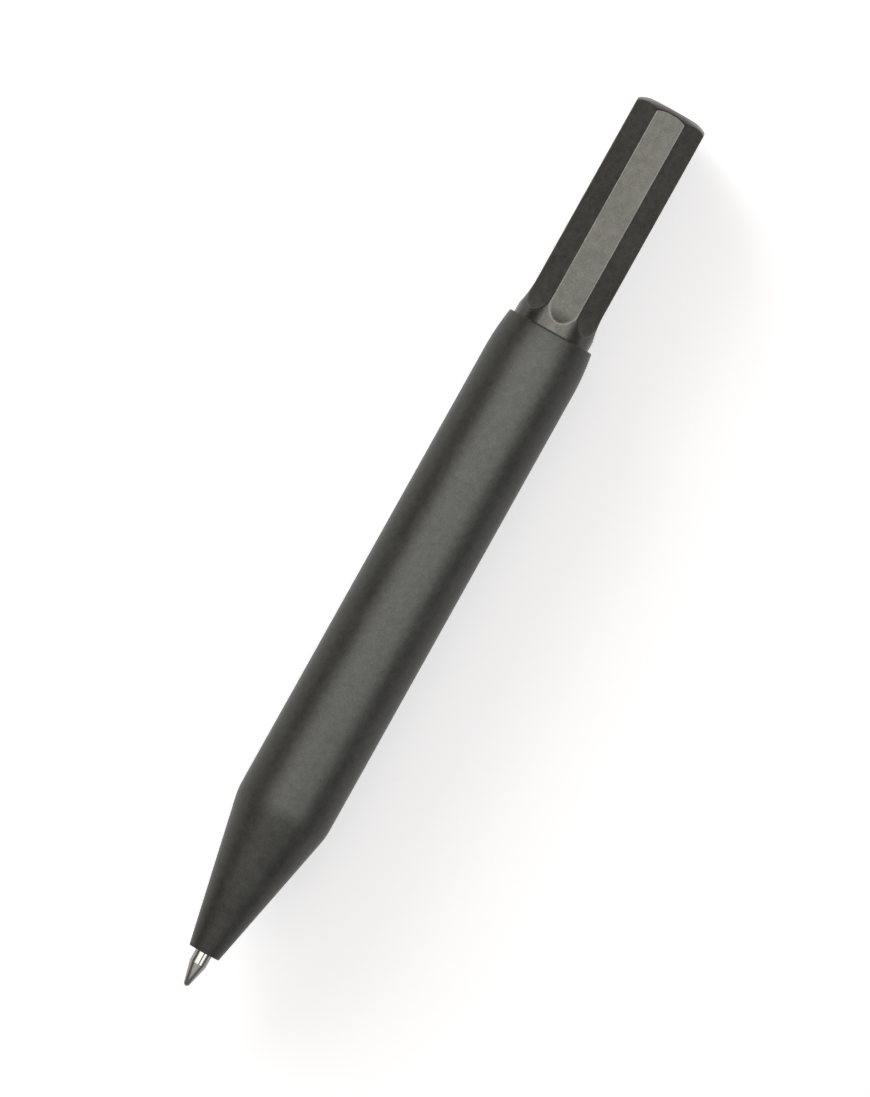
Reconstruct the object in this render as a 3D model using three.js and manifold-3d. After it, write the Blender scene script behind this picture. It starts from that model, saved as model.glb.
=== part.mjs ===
// Retractable ballpoint pen with a long eight-sided plunger, in millimetres.
// It lies along X with its point towards -X and +Z up. The origin is under it at half its length.
// Every station is a distance along the axis, with the plunger's end at END and the point out to write.
import * as THREE from "three";
import { mergeVertices } from "three/addons/utils/BufferGeometryUtils.js";
import Module from "manifold-3d";

const wasm = await Module();
wasm.setup();

// Driving dimensions
const END = 129;
const BARREL_SIDES = 16;
const FINE_SIDES = 48;
const SMALL_SIDES = 24;
const TINY_SIDES = 20;
const RING_SIDES = 8;
const OVERCUT = 0.4;
const MERGE_WITHIN = 1e-4;

const BARREL = {
  noseFace: 4.72,
  noseRadius: 2.155,
  coneEnd: 25.35,
  shoulderBlend: 10,
  radius: 6.5,
  taperStart: 90.7,
  rim: 96.45,
  rimRadius: 6,
  edgeBreak: 0.12,
  shoulderSteps: 5,
  taperSteps: 6,
};
const BORE = {
  tipRadius: 1.28,
  tipEnd: 8.9,
  springSeat: 9.2,
  springRadius: 2.35,
  springEnd: 11.8,
  refillStart: 12.4,
  refillRadius: 3.15,
  threadStart: 74,
  threadRadius: 4.9,
  plungerStart: 82,
  plungerRadius: 5.48,
};
const COLLAR = {
  start: 74.6,
  threadEnd: 81.7,
  flangeStart: 82.63,
  end: 83.3,
  threadRadius: 4.85,
  rootRadius: 4.65,
  neckRadius: 4.75,
  flangeRadius: 5.25,
  bore: 4,
  pitch: 1.4,
  crestFrom: 0.4,
  crestTo: 0.6,
};
const COLLAR_SEAL = { station: 82.32, radius: 5.09, section: 0.27 };
const BUMPER = { start: 83.35, end: 84.2, inner: 4.05, outer: 5.2, edge: 0.2 };
const SLEEVE = {
  flangeStart: 74.05,
  flangeEnd: 74.55,
  flangeRadius: 4.75,
  radius: 3.95,
  bore: 3.25,
  capSeat: 114.15,
  capBore: 3.42,
  grooveStart: 116.5,
  grooveEnd: 117.05,
  grooveRadius: 3.64,
  end: 117.6,
};
const LUG = {
  start: 104.2,
  rise: 0.55,
  end: 105.8,
  inner: 2.55,
  halfAngle: 17,
  flankAt: 9,
  flank: 1,
  count: 4,
};
const CAP = { start: 114.2, end: 116.45, radius: 3.36, hole: 3.5 };
const SNAP_RING = { start: 116.55, end: 117, inner: 3.12, outer: 3.57, openHalfAngle: 18, steps: 24 };
const TEETH = { count: 8, depth: 0.7, inner: 1.05, outer: 2.35, flank: 2, rampSteps: 3 };
const ROTOR = {
  foot: 98.5,
  footRecess: 0.4,
  recessRadius: 1.6,
  crownRoot: 104.7,
  ribStart: 101.8,
  ribTop: 103.9,
  ribDrop: 0.6,
  ribRadius: 3.05,
  ribHalfAngle: 15,
  pilotRadius: 0.85,
  pilotEnd: 107,
};
const CAM = {
  teethTips: 105.7,
  bodyRadius: 2.35,
  flangeStart: 107.3,
  flangeEnd: 108.4,
  flangeRadius: 3.05,
  pilotBore: 0.95,
  pilotBoreEnd: 107.9,
  boreOvercut: 1,
  stemWidth: 3.3,
  stemEnd: 118.8,
  spigotRadius: 1.5,
  spigotEnd: 124.6,
};
const PIN = { station: 122, radius: 0.5, holeRadius: 0.56, length: 8 };
const PLUNGER = {
  start: 85.6,
  radius: 5.42,
  acrossFlats: 9.82,
  flats: 8,
  runoutStart: 97.75,
  runoutEnd: 101.4,
  runoutSteps: 9,
  bore: 4.15,
  boreEnd: 125.3,
  grooveStart: 88,
  grooveEnd: 88.75,
  grooveRadius: 4.84,
};
const CROWN = { start: 127.32, radius: 3.5, lead: 2.6, fall: 1.2, steps: 6 };
const PLUNGER_RING = { station: 88.37, radius: 5.14, section: 0.28 };
const INSERT = { start: 119.1, end: 125.1, radius: 4.08, bore: 1.56, edge: 0.3, sides: 32 };
const BALL = {
  front: -0.2,
  radius: 0.35,
  socket: 0.385,
  lip: 0.02,
  lipRadius: 0.39,
  lipBore: 0.345,
  socketFrom: 0.1,
  socketTo: 0.3,
};
const POINT = { coneEnd: 3.06, radius: 1.17, end: 12.5, inkRadius: 0.2, socketEnd: 0.65 };
const NECK = {
  start: 10.7,
  radius: 1.6,
  springStep: 13.8,
  stepRadius: 2.7,
  shoulder: 14.1,
  shoulderEnd: 14.45,
  shoulderRadius: 2.95,
  spigotRadius: 2.55,
  end: 17,
  pointBore: 1.2,
  pointBoreEnd: 12.6,
  inkRadius: 0.8,
};
const TUBE = { start: 14.5, end: 95, radius: 2.95, bore: 2.6 };
const PLUG = {
  start: 92,
  shoulder: 95.05,
  end: 98.2,
  radius: 2.9,
  spigotRadius: 2.55,
  airHole: 0.5,
  slotWidth: 1.1,
  slotDepth: 1.2,
  edge: 0.3,
};
const INK = { start: 17.1, end: 84, radius: 2.52 };
const SPRING = {
  start: 9.25,
  end: 13.75,
  wire: 0.4,
  wireSides: 6,
  coilRadius: 2.03,
  turns: 7,
  stepsPerTurn: 12,
  endTurns: 1,
  endPitch: 0.46,
};

const MATERIALS = {
  blackAluminium: { color: 0x3c3c38, roughness: 0.5, metalness: 0.6 },
  greyAluminium: { color: 0x44443f, roughness: 0.45, metalness: 0.6 },
  brass: { color: 0xb8964f, roughness: 0.3, metalness: 1 },
  nickelSilver: { color: 0xc9c6bb, roughness: 0.2, metalness: 1 },
  steel: { color: 0xb4b6b8, roughness: 0.25, metalness: 1 },
  carbide: { color: 0x8d8f92, roughness: 0.1, metalness: 1 },
  whiteAcetal: { color: 0xe4e2da, roughness: 0.5, metalness: 0 },
  greyAcetal: { color: 0x55585c, roughness: 0.5, metalness: 0 },
  blackRubber: { color: 0x1b1b1b, roughness: 0.8, metalness: 0 },
  blackInk: { color: 0x0b0c12, roughness: 0.15, metalness: 0 },
};

const radians = THREE.MathUtils.degToRad;
const degrees = THREE.MathUtils.radToDeg;

// Shapes

/** Points [radius, station] on an arc between two angles in degrees. At 0 it points away from the axis. */
function arc(centreRadius, centreStation, radius, from, to, steps) {
  return Array.from({ length: steps + 1 }, (_, i) => {
    const turn = radians(from + ((to - from) * i) / steps);
    return [centreRadius + radius * Math.cos(turn), centreStation + radius * Math.sin(turn)];
  });
}

/** A body of revolution about Y. The outline of [radius, station] runs up the outside and closes. */
function turned(outline, sides = SMALL_SIDES) {
  const points = outline.map(([radius, station]) => new THREE.Vector2(radius, station));
  if (points[0].x > 0) points.push(points[0].clone());
  return new THREE.LatheGeometry(points, sides, Math.PI / sides);
}

/** A plain round rod about Y. */
function rod(radius, from, to, sides = TINY_SIDES) {
  return turned([[0, from], [radius, from], [radius, to], [0, to]], sides);
}

/** A ring of round section about Y. */
function roundRing({ station, radius, section }, sides) {
  return turned(arc(radius, station, section, -90, 270 - 360 / RING_SIDES, RING_SIDES - 1), sides);
}

/** A ring about Y through stops of [degrees, bottom, top]. It has ends where the stops make no full turn. */
function rampedRing(inner, outer, stops) {
  const fullTurn = stops.at(-1)[0] - stops[0][0] === 360;
  const used = fullTurn ? stops.slice(0, -1) : stops;
  const corners = used.flatMap(([angle, bottom, top]) => {
    const section = [[inner, bottom], [outer, bottom], [outer, top], [inner, top]];
    const [sine, cosine] = [Math.sin(radians(angle)), Math.cos(radians(angle))];
    return section.flatMap(([radius, y]) => [radius * sine, y, radius * cosine]);
  });
  const faces = [];
  const spans = fullTurn ? used.length : used.length - 1;
  for (let i = 0; i < spans; i++) {
    const here = 4 * i;
    const next = 4 * ((i + 1) % used.length);
    for (let k = 0; k < 4; k++) {
      const m = (k + 1) % 4;
      faces.push(here + k, next + k, next + m, here + k, next + m, here + m);
    }
  }
  if (!fullTurn) {
    const last = 4 * (used.length - 1);
    faces.push(0, 1, 2, 0, 2, 3, last, last + 2, last + 1, last, last + 3, last + 2);
  }
  const geometry = new THREE.BufferGeometry();
  geometry.setAttribute("position", new THREE.Float32BufferAttribute(corners, 3));
  geometry.setIndex(faces);
  return geometry;
}

/** A closed geometry as a solid that can be joined and cut. */
function solid(geometry) {
  const bare = geometry.clone();
  bare.deleteAttribute("normal");
  bare.deleteAttribute("uv");
  const merged = mergeVertices(bare, MERGE_WITHIN);
  const vertProperties = new Float32Array(merged.attributes.position.array);
  const triVerts = new Uint32Array(merged.index.array);
  return new wasm.Manifold(new wasm.Mesh({ numProp: 3, vertProperties, triVerts }));
}

/** A solid as a geometry again, with flat facets. */
function geometryOf(body) {
  const mesh = body.getMesh();
  const geometry = new THREE.BufferGeometry();
  geometry.setAttribute("position", new THREE.Float32BufferAttribute(mesh.vertProperties, 3));
  geometry.setIndex(Array.from(mesh.triVerts));
  return geometry.toNonIndexed();
}

/** One geometry with others joined to it and others cut from it. */
function shaped(base, { join = [], cut = [] }) {
  const joined = join.reduce((body, extra) => body.add(solid(extra)), solid(base));
  return geometryOf(cut.reduce((body, tool) => body.subtract(solid(tool)), joined));
}

/** A box about the axis, or a bar across it, between two stations. */
function block(width, from, to, breadth = width) {
  return new THREE.BoxGeometry(width, to - from, breadth).translate(0, (from + to) / 2, 0);
}

/** A rod across the axis at a station. */
function crossRod(radius, length, station) {
  const upright = new THREE.CylinderGeometry(radius, radius, length, TINY_SIDES);
  return upright.rotateZ(Math.PI / 2).translate(0, station, 0);
}

// Barrel and the parts fixed in it

/** The barrel rests on one of its long facets. Its radii are measured to the middle of the facets. */
function barrel() {
  const slope = Math.atan2(BARREL.radius - BARREL.noseRadius, BARREL.coneEnd - BARREL.noseFace);
  const blendCentre = BARREL.coneEnd + BARREL.shoulderBlend * Math.tan(slope / 2);
  const taperRun = BARREL.rim - BARREL.taperStart;
  const taperDrop = BARREL.radius - BARREL.rimRadius;
  const taperArc = (taperRun ** 2 + taperDrop ** 2) / (2 * taperDrop);
  const taperTurn = degrees(Math.asin((taperRun - BARREL.edgeBreak) / taperArc));
  const shoulder = arc(
    BARREL.radius - BARREL.shoulderBlend,
    blendCentre,
    BARREL.shoulderBlend,
    -degrees(slope),
    0,
    BARREL.shoulderSteps,
  );
  const taper = arc(BARREL.radius - taperArc, BARREL.taperStart, taperArc, 0, taperTurn, BARREL.taperSteps);
  const shell = turned(
    [
      [BORE.tipRadius + BARREL.edgeBreak, BARREL.noseFace],
      [BARREL.noseRadius - BARREL.edgeBreak, BARREL.noseFace],
      [BARREL.noseRadius + BARREL.edgeBreak * Math.tan(slope), BARREL.noseFace + BARREL.edgeBreak],
      ...shoulder,
      ...taper,
      [BARREL.rimRadius - BARREL.edgeBreak, BARREL.rim],
      [BORE.plungerRadius + BARREL.edgeBreak, BARREL.rim],
      [BORE.plungerRadius, BARREL.rim - BARREL.edgeBreak],
      [BORE.plungerRadius, BORE.plungerStart],
      [BORE.threadRadius, BORE.plungerStart],
      [BORE.threadRadius, BORE.threadStart],
      [BORE.refillRadius, BORE.threadStart],
      [BORE.refillRadius, BORE.refillStart],
      [BORE.springRadius, BORE.springEnd],
      [BORE.springRadius, BORE.springSeat],
      [BORE.tipRadius, BORE.tipEnd],
      [BORE.tipRadius, BARREL.noseFace + BARREL.edgeBreak],
    ],
    BARREL_SIDES,
  );
  const cornerOverFacet = 1 / Math.cos(Math.PI / BARREL_SIDES);
  return shell.scale(cornerOverFacet, 1, cornerOverFacet);
}

/** The threaded bush that holds the click unit in the barrel. Its thread is drawn as plain rings. */
function mechanismCollar() {
  const rings = Math.floor((COLLAR.threadEnd - COLLAR.start) / COLLAR.pitch);
  const roots = Array.from({ length: rings }, (_, i) => COLLAR.start + i * COLLAR.pitch);
  const thread = roots.flatMap((y) => [
    [COLLAR.rootRadius, y],
    [COLLAR.threadRadius, y + COLLAR.pitch * COLLAR.crestFrom],
    [COLLAR.threadRadius, y + COLLAR.pitch * COLLAR.crestTo],
  ]);
  return turned([
    [COLLAR.bore, COLLAR.start],
    ...thread,
    [COLLAR.rootRadius, COLLAR.threadEnd],
    [COLLAR.neckRadius, COLLAR.flangeStart],
    [COLLAR.flangeRadius, COLLAR.flangeStart],
    [COLLAR.flangeRadius, COLLAR.end],
    [COLLAR.bore, COLLAR.end],
  ]);
}

/** The rubber ring on the collar that the plunger meets at the end of its push. */
function bumperRing() {
  return turned([
    [BUMPER.inner, BUMPER.start],
    [BUMPER.outer, BUMPER.start],
    [BUMPER.outer, BUMPER.end - BUMPER.edge],
    [BUMPER.outer - BUMPER.edge, BUMPER.end],
    [BUMPER.inner + BUMPER.edge, BUMPER.end],
    [BUMPER.inner, BUMPER.end - BUMPER.edge],
  ]);
}

/** The tube whose lugs catch the rotor's ribs. The rotor passes up between them when the point is in. */
function stopSleeve() {
  const tube = turned([
    [SLEEVE.bore, SLEEVE.flangeStart],
    [SLEEVE.flangeRadius, SLEEVE.flangeStart],
    [SLEEVE.flangeRadius, SLEEVE.flangeEnd],
    [SLEEVE.radius, SLEEVE.flangeEnd],
    [SLEEVE.radius, SLEEVE.end],
    [SLEEVE.capBore, SLEEVE.end],
    [SLEEVE.capBore, SLEEVE.grooveEnd],
    [SLEEVE.grooveRadius, SLEEVE.grooveEnd],
    [SLEEVE.grooveRadius, SLEEVE.grooveStart],
    [SLEEVE.capBore, SLEEVE.grooveStart],
    [SLEEVE.capBore, SLEEVE.capSeat],
    [SLEEVE.bore, SLEEVE.capSeat],
  ]);
  const embedded = (SLEEVE.bore + SLEEVE.radius) / 2;
  const step = 360 / LUG.count;
  const lugs = Array.from({ length: LUG.count }, (_, i) => {
    const centre = (i + 0.5) * step;
    return rampedRing(LUG.inner, embedded, [
      [centre - LUG.halfAngle, LUG.start, LUG.end],
      [centre, LUG.start + (LUG.rise * LUG.halfAngle) / (LUG.halfAngle + LUG.flankAt), LUG.end],
      [centre + LUG.flankAt, LUG.start + LUG.rise, LUG.end],
      [centre + LUG.flankAt + LUG.flank, LUG.start, LUG.end],
      [centre + LUG.halfAngle, LUG.start, LUG.end],
    ]);
  });
  return shaped(tube, { join: lugs });
}

/** The disc at the sleeve's end. Its square hole keeps the thrust cam's stem from turning. */
function sleeveCap() {
  const disc = rod(CAP.radius, CAP.start, CAP.end, SMALL_SIDES);
  return shaped(disc, { cut: [block(CAP.hole, CAP.start - OVERCUT, CAP.end + OVERCUT)] });
}

/** The open steel ring that keeps the cap in the sleeve. */
function snapRing() {
  const span = 360 - 2 * SNAP_RING.openHalfAngle;
  const stops = Array.from({ length: SNAP_RING.steps + 1 }, (_, i) => [
    SNAP_RING.openHalfAngle + (span * i) / SNAP_RING.steps,
    SNAP_RING.start,
    SNAP_RING.end,
  ]);
  return rampedRing(SNAP_RING.inner, SNAP_RING.outer, stops);
}

// Click mechanism

/** Stops for a ring of saw teeth. edge() turns a tooth's height at an angle into [bottom, top]. */
function sawTeeth(edge) {
  const pitch = 360 / TEETH.count;
  const stops = [];
  for (let tooth = 0; tooth < TEETH.count; tooth++) {
    for (let i = 0; i <= TEETH.rampSteps; i++) {
      const share = i / TEETH.rampSteps;
      stops.push([tooth * pitch + share * (pitch - TEETH.flank), ...edge(TEETH.depth * (1 - share))]);
    }
  }
  stops.push([360, ...edge(TEETH.depth)]);
  return rampedRing(TEETH.inner, TEETH.outer, stops);
}

/** The rotor stands on the refill. Each click turns it by one tooth, from under the lugs to between them. */
function rotor() {
  const body = turned(
    [
      [0, ROTOR.foot + ROTOR.footRecess],
      [ROTOR.recessRadius, ROTOR.foot + ROTOR.footRecess],
      [ROTOR.recessRadius, ROTOR.foot],
      [TEETH.outer, ROTOR.foot],
      [TEETH.outer, ROTOR.crownRoot],
      [ROTOR.pilotRadius, ROTOR.crownRoot],
      [ROTOR.pilotRadius, ROTOR.pilotEnd],
      [0, ROTOR.pilotEnd],
    ],
    TINY_SIDES,
  );
  const crown = sawTeeth((height) => [ROTOR.crownRoot - OVERCUT, ROTOR.crownRoot + height]);
  const step = 360 / LUG.count;
  const embedded = TEETH.outer - OVERCUT;
  const ribs = Array.from({ length: LUG.count }, (_, i) =>
    rampedRing(embedded, ROTOR.ribRadius, [
      [i * step - ROTOR.ribHalfAngle, ROTOR.ribStart, ROTOR.ribTop - ROTOR.ribDrop],
      [i * step, ROTOR.ribStart, ROTOR.ribTop - ROTOR.ribDrop / 2],
      [i * step + ROTOR.ribHalfAngle, ROTOR.ribStart, ROTOR.ribTop],
    ]),
  );
  return shaped(body, { join: [crown, ...ribs] });
}

/** The cam that the plunger drives: teeth that turn the rotor, a flange that stops it, and a square stem. */
function thrustCam() {
  const teethRoot = CAM.teethTips + TEETH.depth;
  const body = turned(
    [
      [0, teethRoot],
      [CAM.bodyRadius, teethRoot],
      [CAM.bodyRadius, CAM.flangeStart],
      [CAM.flangeRadius, CAM.flangeStart],
      [CAM.flangeRadius, CAM.flangeEnd],
      [0, CAM.flangeEnd],
    ],
    TINY_SIDES,
  );
  const crown = sawTeeth((height) => [teethRoot - height, teethRoot + OVERCUT]);
  const stem = block(CAM.stemWidth, CAM.flangeEnd - OVERCUT, CAM.stemEnd);
  const spigot = rod(CAM.spigotRadius, CAM.stemEnd - OVERCUT, CAM.spigotEnd);
  const pilotBore = rod(CAM.pilotBore, teethRoot - CAM.boreOvercut, CAM.pilotBoreEnd);
  const pinHole = crossRod(PIN.holeRadius, PLUNGER.radius, PIN.station);
  return shaped(body, { join: [crown, stem, spigot], cut: [pilotBore, pinHole] });
}

// Plunger

/** The tool that mills one flat, which runs out in a shallow arc to the round base. */
function flatCutter() {
  const flat = PLUNGER.acrossFlats / 2;
  const rise = PLUNGER.radius - flat;
  const run = PLUNGER.runoutEnd - PLUNGER.runoutStart;
  const runout = (run ** 2 + rise ** 2) / (2 * rise);
  const outside = PLUNGER.radius + OVERCUT;
  const entry = Math.PI + Math.acos((flat + runout - outside) / runout);
  const profile = new THREE.Shape();
  profile.absarc(flat + runout, PLUNGER.runoutEnd, runout, entry, Math.PI, true);
  profile.lineTo(flat, END + OVERCUT);
  profile.lineTo(2 * flat, END + OVERCUT);
  profile.lineTo(2 * flat, PLUNGER.runoutStart - run);
  const depth = 2 * PLUNGER.radius;
  const curveSegments = PLUNGER.runoutSteps;
  const bar = new THREE.ExtrudeGeometry(profile, { depth, bevelEnabled: false, curveSegments });
  return bar.translate(0, 0, -depth / 2);
}

/** The plunger's rounded end, which falls away slowly at first and then faster, down to the flat end face. */
function roundedEnd() {
  return Array.from({ length: CROWN.steps + 1 }, (_, i) => {
    const share = Math.sin((i * Math.PI) / (2 * CROWN.steps));
    const height = (1 - share ** CROWN.lead) ** (1 / CROWN.fall);
    const radius = CROWN.radius + (PLUNGER.radius - CROWN.radius) * height;
    return [radius, CROWN.start + (END - CROWN.start) * share];
  });
}

/** The eight-sided push button: a turned bar with a bore from the front, and eight milled flats. */
function plunger() {
  const bar = turned(
    [
      [PLUNGER.bore + BARREL.edgeBreak, PLUNGER.start],
      [PLUNGER.radius - BARREL.edgeBreak, PLUNGER.start],
      [PLUNGER.radius, PLUNGER.start + BARREL.edgeBreak],
      [PLUNGER.radius, PLUNGER.grooveStart],
      [PLUNGER.grooveRadius, PLUNGER.grooveStart],
      [PLUNGER.grooveRadius, PLUNGER.grooveEnd],
      [PLUNGER.radius, PLUNGER.grooveEnd],
      ...roundedEnd(),
      [0, END],
      [0, PLUNGER.boreEnd],
      [PLUNGER.bore, PLUNGER.boreEnd],
      [PLUNGER.bore, PLUNGER.start + BARREL.edgeBreak],
    ],
    FINE_SIDES,
  );
  const cutters = Array.from({ length: PLUNGER.flats }, (_, i) =>
    flatCutter().rotateY((i * 2 * Math.PI) / PLUNGER.flats),
  );
  return shaped(bar, { cut: cutters });
}

/** The brass plug in the plunger's end that the thrust cam is pinned to. */
function plungerInsert() {
  const body = turned(
    [
      [INSERT.bore, INSERT.start],
      [INSERT.radius - INSERT.edge, INSERT.start],
      [INSERT.radius, INSERT.start + INSERT.edge],
      [INSERT.radius, INSERT.end],
      [INSERT.bore, INSERT.end],
    ],
    INSERT.sides,
  );
  return shaped(body, { cut: [crossRod(PIN.holeRadius, 2 * PLUNGER.radius, PIN.station)] });
}

// Refill

/** The writing point: a cone crimped round the ball, on a straight needle with an ink channel. */
function refillPoint() {
  return turned(
    [
      [BALL.lipBore, BALL.lip],
      [BALL.lipRadius, BALL.lip],
      [POINT.radius, POINT.coneEnd],
      [POINT.radius, POINT.end],
      [POINT.inkRadius, POINT.end],
      [POINT.inkRadius, POINT.socketEnd],
      [BALL.socket, BALL.socketTo],
      [BALL.socket, BALL.socketFrom],
    ],
    TINY_SIDES,
  );
}

function refillBall() {
  const ball = new THREE.SphereGeometry(BALL.radius, TINY_SIDES, TINY_SIDES / 2);
  return ball.translate(0, BALL.front + BALL.radius, 0);
}

/** The brass neck between the point and the tube, with the step that the return spring pushes on. */
function refillNeck() {
  return turned([
    [NECK.pointBore, NECK.start],
    [NECK.radius, NECK.start],
    [NECK.radius, NECK.springStep],
    [NECK.stepRadius, NECK.springStep],
    [NECK.shoulderRadius, NECK.shoulder],
    [NECK.shoulderRadius, NECK.shoulderEnd],
    [NECK.spigotRadius, NECK.shoulderEnd],
    [NECK.spigotRadius, NECK.end],
    [NECK.inkRadius, NECK.end],
    [NECK.inkRadius, NECK.pointBoreEnd],
    [NECK.pointBore, NECK.pointBoreEnd],
  ]);
}

function refillTube() {
  return turned([
    [TUBE.bore, TUBE.start],
    [TUBE.radius, TUBE.start],
    [TUBE.radius, TUBE.end],
    [TUBE.bore, TUBE.end],
  ]);
}

/** The plug in the tube's rear end, with a crown and an air hole. */
function refillPlug() {
  const body = turned([
    [PLUG.airHole, PLUG.start],
    [PLUG.spigotRadius, PLUG.start],
    [PLUG.spigotRadius, PLUG.shoulder],
    [PLUG.radius, PLUG.shoulder],
    [PLUG.radius, PLUG.end - PLUG.edge],
    [PLUG.radius - PLUG.edge, PLUG.end],
    [PLUG.airHole, PLUG.end],
  ]);
  const slotFloor = PLUG.end - PLUG.slotDepth;
  const across = 3 * PLUG.radius;
  return shaped(body, {
    cut: [
      block(PLUG.slotWidth, slotFloor, PLUG.end + OVERCUT, across),
      block(across, slotFloor, PLUG.end + OVERCUT, PLUG.slotWidth),
    ],
  });
}

function refillInk() {
  return rod(INK.radius, INK.start, INK.end, SMALL_SIDES);
}

/** The centre line of a compression spring about Y with close turns at both ends. */
class SpringLine extends THREE.Curve {
  getPoint(t, target = new THREE.Vector3()) {
    const { start, end, wire, coilRadius, turns, endTurns, endPitch } = SPRING;
    const turn = t * turns;
    const height = end - start - wire;
    const openPitch = (height - 2 * endTurns * endPitch) / (turns - 2 * endTurns);
    const closedBelow = Math.min(turn, endTurns);
    const closedAbove = Math.max(turn - turns + endTurns, 0);
    const open = turn - closedBelow - closedAbove;
    const y = start + wire / 2 + endPitch * (closedBelow + closedAbove) + openPitch * open;
    const angle = 2 * Math.PI * turn;
    return target.set(coilRadius * Math.cos(angle), y, coilRadius * Math.sin(angle));
  }
}

function returnSpring() {
  const circle = new THREE.EllipseCurve(0, 0, SPRING.wire / 2, SPRING.wire / 2);
  const section = new THREE.Shape(circle.getPoints(SPRING.wireSides).slice(0, SPRING.wireSides));
  const steps = SPRING.turns * SPRING.stepsPerTurn;
  return new THREE.ExtrudeGeometry(section, { steps, bevelEnabled: false, extrudePath: new SpringLine() });
}

// Assembly

function material(name) {
  return new THREE.MeshStandardMaterial({ ...MATERIALS[name], flatShading: true });
}

/** A group of named pieces from { name: [geometry, material name] }. */
function unit(pieces) {
  const group = new THREE.Group();
  for (const [name, [geometry, finish]] of Object.entries(pieces)) {
    const mesh = new THREE.Mesh(geometry, material(finish));
    mesh.name = name;
    group.add(mesh);
  }
  return group;
}

const barrelUnit = unit({
  barrel: [barrel(), "blackAluminium"],
  mechanism_collar: [mechanismCollar(), "brass"],
  collar_seal: [roundRing(COLLAR_SEAL, FINE_SIDES), "blackRubber"],
  bumper_ring: [bumperRing(), "blackRubber"],
  stop_sleeve: [stopSleeve(), "greyAcetal"],
  sleeve_cap: [sleeveCap(), "brass"],
  snap_ring: [snapRing(), "steel"],
  return_spring: [returnSpring(), "steel"],
});
const plungerUnit = unit({
  plunger: [plunger(), "greyAluminium"],
  plunger_insert: [plungerInsert(), "brass"],
  plunger_ring: [roundRing(PLUNGER_RING, FINE_SIDES), "blackRubber"],
  thrust_cam: [thrustCam(), "brass"],
  cam_pin: [crossRod(PIN.radius, PIN.length, PIN.station), "steel"],
});
const refillUnit = unit({
  refill_ball: [refillBall(), "carbide"],
  refill_point: [refillPoint(), "nickelSilver"],
  refill_neck: [refillNeck(), "brass"],
  refill_tube: [refillTube(), "steel"],
  refill_plug: [refillPlug(), "greyAcetal"],
  refill_ink: [refillInk(), "blackInk"],
  rotor: [rotor(), "whiteAcetal"],
});

const upright = new THREE.Group();
upright.add(barrelUnit, plungerUnit, refillUnit);
upright.rotation.z = -Math.PI / 2;
upright.position.set(-(BALL.front + END) / 2, 0, BARREL.radius);

const pen = new THREE.Group();
pen.add(upright);

export default pen;
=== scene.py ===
"""The looks of a retractable ballpoint pen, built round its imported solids.

The pen lies along X with its point towards -X. A station is a distance along the pen in millimetres, with
the plunger's end at 129, and every mesh is built in metres in the frame's own space. The barrel, the plunger,
the writing point, its ball and the return spring are made anew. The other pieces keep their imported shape.
"""

import logging
import math
from dataclasses import dataclass
from enum import Enum

import bpy
from mathutils import Matrix, Vector


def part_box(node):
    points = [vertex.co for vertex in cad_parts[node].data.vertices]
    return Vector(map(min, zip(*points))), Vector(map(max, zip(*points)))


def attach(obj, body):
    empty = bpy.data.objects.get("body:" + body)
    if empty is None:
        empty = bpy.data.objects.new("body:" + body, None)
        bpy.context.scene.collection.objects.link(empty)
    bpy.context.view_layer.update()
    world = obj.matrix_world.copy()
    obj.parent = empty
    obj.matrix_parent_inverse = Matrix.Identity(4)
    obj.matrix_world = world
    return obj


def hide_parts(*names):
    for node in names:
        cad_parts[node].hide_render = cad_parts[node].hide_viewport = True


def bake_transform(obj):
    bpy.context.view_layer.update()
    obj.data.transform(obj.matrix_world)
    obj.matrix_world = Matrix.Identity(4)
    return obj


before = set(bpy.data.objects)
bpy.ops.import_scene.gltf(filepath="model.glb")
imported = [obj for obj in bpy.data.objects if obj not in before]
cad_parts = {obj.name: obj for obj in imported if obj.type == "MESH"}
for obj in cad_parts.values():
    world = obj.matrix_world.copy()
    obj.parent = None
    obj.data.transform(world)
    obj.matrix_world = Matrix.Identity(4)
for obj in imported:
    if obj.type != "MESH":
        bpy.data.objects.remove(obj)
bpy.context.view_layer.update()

logging.basicConfig(level=logging.INFO, format="%(message)s")
log = logging.getLogger("pen")

MM = 0.001
# Points nearer to each other than this, in metres, are merged.
MERGE_WITHIN = 1e-7
# The attribute that says how much each point of a piece is lightened at its edges: wear, and a painted
# highlight.
EDGE_WEAR_AND_HIGHLIGHT = "edge_wear_and_highlight"
# The height of the pen's axis and the place of station 0 along it, in metres.
AXIS_Z = (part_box("refill_ball")[0].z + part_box("refill_ball")[1].z) / 2
END_STATION = 129.0
ZERO_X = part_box("plunger")[1].x - END_STATION * MM
Profile = list[tuple[float, float]]
Colour = tuple[float, float, float]
Place = tuple[float, float, float]


class Slot(Enum):
    """Material slots of the record, which every piece takes its finish from."""

    BARREL = "barrel_anodised"
    PLUNGER = "plunger_anodised"
    BRASS = "brass"
    NICKEL = "nickel_silver"
    STEEL = "steel"
    CARBIDE = "carbide"
    WHITE_ACETAL = "white_acetal"
    GREY_ACETAL = "grey_acetal"
    RUBBER = "black_rubber"
    INK = "black_ink"


def linear(level: int) -> float:
    """Turns one part of a screen colour, from 0 to 255, into its linear level, from 0 to 1."""
    share = level / 255
    return share / 12.92 if share <= 0.04045 else ((share + 0.055) / 1.055) ** 2.4


def srgb(red: int, green: int, blue: int) -> Colour:
    """Turns a screen colour into the linear colour that a shader takes.

    Args:
        red: Red, from 0 to 255.
        green: Green, from 0 to 255.
        blue: Blue, from 0 to 255.

    Returns:
        The linear colour, each part from 0 to 1.
    """
    return linear(red), linear(green), linear(blue)


# Meshes


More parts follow.
